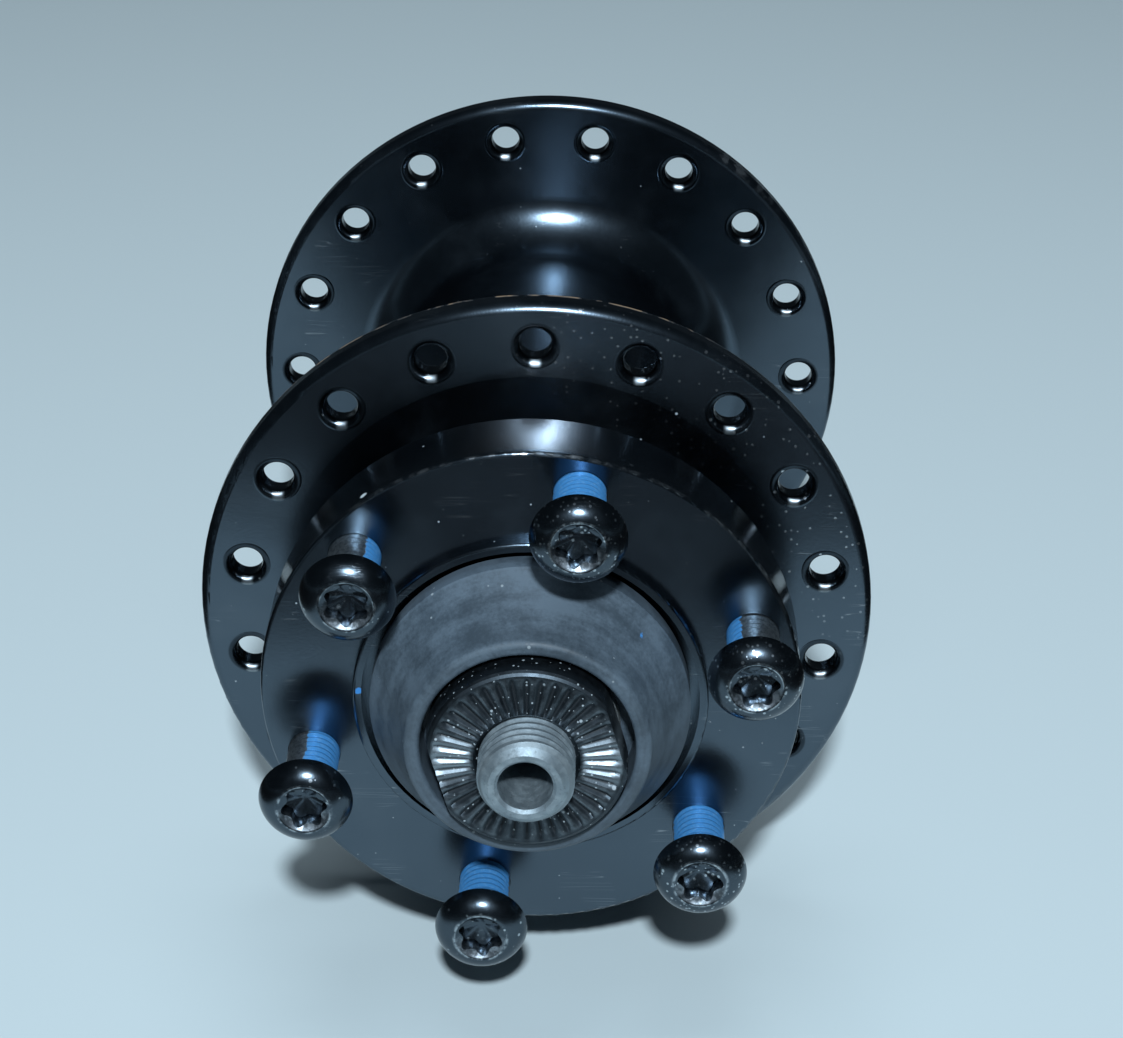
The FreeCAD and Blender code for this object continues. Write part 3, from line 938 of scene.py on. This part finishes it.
def cutTeeth(piece):
    # moves the turned steps together at each tooth and sinks the face into grooves
    look = locknutLook
    innerEnd, innerDepth = look["grooveInner"]
    outerEnd, outerDepth = look["grooveOuter"]
    rounding, face = look["edgeRounding"], look["face"]
    flatEnd = look["radius"] - rounding
    slack = 0.001
    steps = len(look["toothCuts"])
    pitch = 2 * math.pi / look["teeth"]
    depths = piece.data.attributes.new("grooveDepth", "FLOAT", "POINT")
    for vertex in piece.data.vertices:
        radius = math.hypot(vertex.co.x, vertex.co.z) / mm
        share = (radius - innerEnd) / (outerEnd - innerEnd)
        if share < -slack:
            continue
        turn = math.atan2(vertex.co.x, vertex.co.z) / pitch
        place = round((turn - math.floor(turn)) * steps) % steps
        evenPhase = place / steps if place <= steps / 2 else place / steps - 1
        angle = (round(turn - evenPhase) + look["toothPhases"][place]) * pitch
        vertex.co.x = radius * math.sin(angle) * mm
        vertex.co.z = radius * math.cos(angle) * mm
        if vertex.co.y / mm < rounding - face + 10 * slack:
            depth = innerDepth + (outerDepth - innerDepth) * share
            fade = min(1.0, max(0.0, (look["grooveEnd"] - radius) / (look["grooveEnd"] - outerEnd)))
            cut = look["toothCuts"][place] * depth * fade
            past = min(rounding, max(0.0, radius - flatEnd))
            edge = rounding - math.sqrt(rounding ** 2 - past ** 2)
            vertex.co.y = (max(cut, edge) - face) * mm
            depths.data[vertex.index].value = cut / depth


def cutFlats(piece, flatsTurn):
    turn = math.radians(flatsTurn)
    for side in (-1, 1):
        outward = Vector((side * math.cos(turn), 0.0, -side * math.sin(turn)))
        startEdit(piece)
        cutAway(outward * locknutLook["acrossFlats"] / 2 * mm, outward)
    leaveEdit()


for side, flatsTurn in locknutLook["flatsTurn"].items():
    nut = turnLocknut()
    cutTeeth(nut)
    cutFlats(nut, flatsTurn)
    if side == "far_side":
        rough = nut
        nut = mirrored(rough, "far_side_locknut_detail")
        bpy.data.objects.remove(rough)
    nut.name = side + "_locknut_detail"
    finishPiece(nut, side + "_locknut", "axle_set", nutSteel, angle=20.0)
print("locknuts made")


# Rubber boots

bootLook = {
    "rim": (15.2, 40.6),  # radius, distance from the hub's middle
    "lip": (11.4, 48.2),
    "hollow": 0.5,  # how far the side sinks in from a straight cone
    "skirtDepth": 2.3,
    "skirtRounding": 0.3,
    "recessRadius": 10.0,
    "floorFront": 43.2,
    "floorThickness": 2.0,
    "boreRadius": 7.6,
    "wall": 1.5,
    "lipRounding": 0.5,
}


def makeBoot():
    look = bootLook
    rimRadius, rimHeight = look["rim"]
    lipRadius, lipHeight = look["lip"]
    wall, lipRounding = look["wall"], look["lipRounding"]
    recess, bore = look["recessRadius"], look["boreRadius"]
    floorFront = look["floorFront"]
    floorBack = floorFront - look["floorThickness"]
    skirtEnd = look["skirtDepth"] - rimHeight
    side = arcPoints((lipRadius, -lipHeight), (rimRadius, -rimHeight), look["hollow"], 16)
    corners = side[:0:-1] + [
        (lipRadius, -lipHeight, lipRounding),
        (recess, -lipHeight, lipRounding),
        (recess, -floorFront),
        (bore, -floorFront),
        (bore, -floorBack),
        (recess + wall, -floorBack),
        (recess + wall, 3 * wall - lipHeight),  # the lip is three walls deep
        (rimRadius - wall, -rimHeight),
        (rimRadius - wall, skirtEnd),
        (rimRadius, skirtEnd, look["skirtRounding"]),
    ]
    return turnOutline("rotor_side_rubber_boot_detail", corners, steps=192)


nearBoot = makeBoot()
farBoot = mirrored(nearBoot, "far_side_rubber_boot_detail")
finishPiece(nearBoot, "rotor_side_rubber_boot", "axle_set", rubber)
finishPiece(farBoot, "far_side_rubber_boot", "axle_set", rubber)
print("boots made")


# Rotor bolts

boltLook = {
    "circleRadius": 22.0,
    "rotorFace": 38.4,
    "firstTurn": 12.0,  # degrees, as are all turns here
    "standOut": [7.5, 6.7, 6.9, 6.7, 7.2, 6.6],
    "ownTurn": [0.0, 12.0, 25.0, 40.0, 8.0, 50.0],
    # middle and half width of each patch, from the top
    "bluePatch": [(0, 80), (-75, 45), (0, 80), (0, 80), (60, 70), (80, 50)],
    "patchSoftness": 30.0,
    "chipped": [1.6, 1.4, 1.2, 0.2, 0.1, 0.15],
    "wornEdge": 0.9,
    "wornReach": (0.05, 0.08),  # down from the head's top, to both sides of the lead-in's rim
    "litFacetDepth": 1.5,  # down the socket's lower half, which is painted lighter as lit facets
    "litFacetFade": 1.2,  # height over which the painted lit facets fade in
    "length": 10.0,
    "threadRadius": 2.5,
    "threadRoot": 2.37,  # the blue patch and dirt fill the thread
    "threadStart": -0.6,  # inside the head
    "pitch": 0.8,
    "plainNeck": 0.5,
    "neckRadius": 2.1,
    "tipBevel": 0.5,
    "headRadius": 4.45,
    "seatRadius": 3.9,
    "seatRounding": 0.12,
    "widest": 0.9,
    "headHeight": 2.8,
    "topRadius": 2.55,
    "leadIn": (2.5, 1.9, 0.4),  # radius at the top, radius at its foot, depth
    "domeBulge": 0.36,
    "socketRadius": 2.0,
    "socketLobes": 6,
    "socketWave": 0.3,
    "socketDepth": 1.9,
    "socketTaper": 0.97,
    "socketFlare": 0.14,
    "drillCone": (0.45, 0.25),  # depth, share of the width that is left at its end
}


def makeSocketTool():
    # a lobed plug from just above the head's top to the drill cone at the socket's bottom
    look = boltLook
    clearSelection()
    bpy.ops.mesh.primitive_circle_add(
        vertices=96, radius=1.0, fill_type="NGON", rotation=(math.pi / 2, 0, 0)
    )
    tool = bpy.context.object
    bpy.ops.object.transform_apply(location=True, rotation=True, scale=True)
    flare, width = look["socketFlare"], look["socketRadius"]
    start = -look["headHeight"] - flare
    for vertex in tool.data.vertices:
        turn = math.atan2(vertex.co.x, vertex.co.z)
        radius = width + look["socketWave"] * math.cos(look["socketLobes"] * turn) + 2 * flare
        vertex.co = Vector((radius * math.sin(turn), start, radius * math.cos(turn))) * mm
    startEdit(tool, "FACE")
    mouth = (2 * flare, 1 - 2 * flare / width)
    for depth, shrink in (mouth, (look["socketDepth"] - flare, look["socketTaper"]), look["drillCone"]):
        bpy.ops.mesh.extrude_region_move(TRANSFORM_OT_translate={"value": (0, depth * mm, 0)})
        bpy.ops.transform.resize(value=(shrink, 1, shrink), center_override=(0, 0, 0))
    faceOutward()
    leaveEdit()
    return tool


def makeLeadInTool():
    look = boltLook
    wide, narrow, depth = look["leadIn"]
    slope = (wide - narrow) / depth
    top = -look["headHeight"]
    over, under = 0.3, 0.1  # the ring just under the top keeps the worn edge narrow
    return turnOutline("lead_in", [
        (0.0, top - over), (wide + over * slope, top - over), (wide - under * slope, top + under),
        (narrow, top + depth), (0.0, top + depth),
    ], steps=96, closed=False)


def makeBolt():
    look = boltLook
    crest, length = look["threadRadius"], look["length"]
    top = -look["headHeight"]
    widest = (look["headRadius"], -look["widest"])
    dome = arcPoints(widest, (look["topRadius"], top), look["domeBulge"], 12)
    corners = [(0.0, 0.0), (look["seatRadius"], 0.0, look["seatRounding"])] + dome + [(0.0, top)]
    bolt = turnOutline("bolt_detail", corners, steps=144, closed=False)
    thread = threadedRod("bolt_thread", crest, look["threadRoot"], look["pitch"], look["threadStart"], length)
    for vertex in thread.data.vertices:
        along = vertex.co.y / mm
        neck = look["neckRadius"] + max(0.0, along - look["plainNeck"])
        pullIn(vertex, min(crest, crest - look["tipBevel"] + length - along, neck))
    cutWith(bolt, thread, "UNION")
    cutWith(bolt, makeLeadInTool())
    cutWith(bolt, makeSocketTool())
    return bolt


def markBolt(bolt, upTurn, patch, chipped):
    # stores where the patch, the shank, the worn edge and the socket are, before the bolt is put in place
    look = boltLook
    centre, halfWidth = upTurn + patch[0], patch[1]
    upX, upZ = math.sin(math.radians(upTurn)), math.cos(math.radians(upTurn))
    top, rim = -look["headHeight"], look["leadIn"][0]
    wornDepth, wornWidth = look["wornReach"]
    slack = 0.02
    values = {"bluePatch": [], "shank": [], "wornEdge": [], "socket": [], "chipped": []}
    for vertex in bolt.data.vertices:
        x, y, z = vertex.co / mm
        radius = math.hypot(x, z)
        turn = math.degrees(math.atan2(x, z))
        apart = abs((turn - centre + 180.0) % 360.0 - 180.0)
        onShank = 1.0 if y > slack else 0.0
        onPatch = min(1.0, max(0.0, (halfWidth - apart) / look["patchSoftness"] + 0.5))
        onRim = y < top + wornDepth and abs(radius - rim) < wornWidth
        inSocket = top + slack < y < top + look["litFacetDepth"] and radius < rim - slack
        above = x * upX + z * upZ
        lowerHalf = min(1.0, max(0.0, 0.1 - above / look["litFacetFade"]))  # only this half is painted lighter, as lit facets
        values["bluePatch"].append(onShank * onPatch)
        values["shank"].append(onShank)
        values["wornEdge"].append(look["wornEdge"] if onRim else 0.0)
        values["socket"].append(lowerHalf if inSocket else 0.0)
        values["chipped"].append(chipped)
    for name, numbers in values.items():
        attribute = bolt.data.attributes.new(name, "FLOAT", "POINT")
        attribute.data.foreach_set("value", numbers)


def placeBolt(pattern, index):
    look = boltLook
    hubTurn = look["firstTurn"] + 360.0 / len(boltNames) * index
    clearSelection()
    bolt = pattern.copy()
    bolt.data = pattern.data.copy()
    bolt.name = boltNames[index] + "_detail"
    bpy.context.collection.objects.link(bolt)
    turnAbout(bolt, look["ownTurn"][index])
    # the patch is given as seen from above, so the bolt's turn round the hub is taken off
    markBolt(bolt, -hubTurn, look["bluePatch"][index], look["chipped"][index])
    seat = -look["rotorFace"] - look["standOut"][index]
    bolt.data.transform(Matrix.Translation(Vector((0.0, seat, look["circleRadius"])) * mm))
    turnAbout(bolt, hubTurn)
    finishPiece(bolt, boltNames[index], boltNames[index], boltSteel)


pattern = makeBolt()
for index in range(len(boltNames)):
    placeBolt(pattern, index)
bpy.data.objects.remove(pattern)
print("bolts made")


# Finishes of the CAD pieces

finishes = {
    "black_shell": blackShell,
    "ball_steel": makeMetalFinish("ballSteel"),
    "race_steel": makeMetalFinish("raceSteel"),
    "plated_steel": makeMetalFinish("platedSteel"),
    "cone_steel": makeMetalFinish("coneSteel"),
    "seal_rubber": rubber,
    "washer_steel": makeMetalFinish("washerSteel"),
}
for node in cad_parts.values():
    for place in node.material_slots:
        slotName = place.material.name.split(".")[0]
        if slotName in finishes:
            place.material = finishes[slotName]
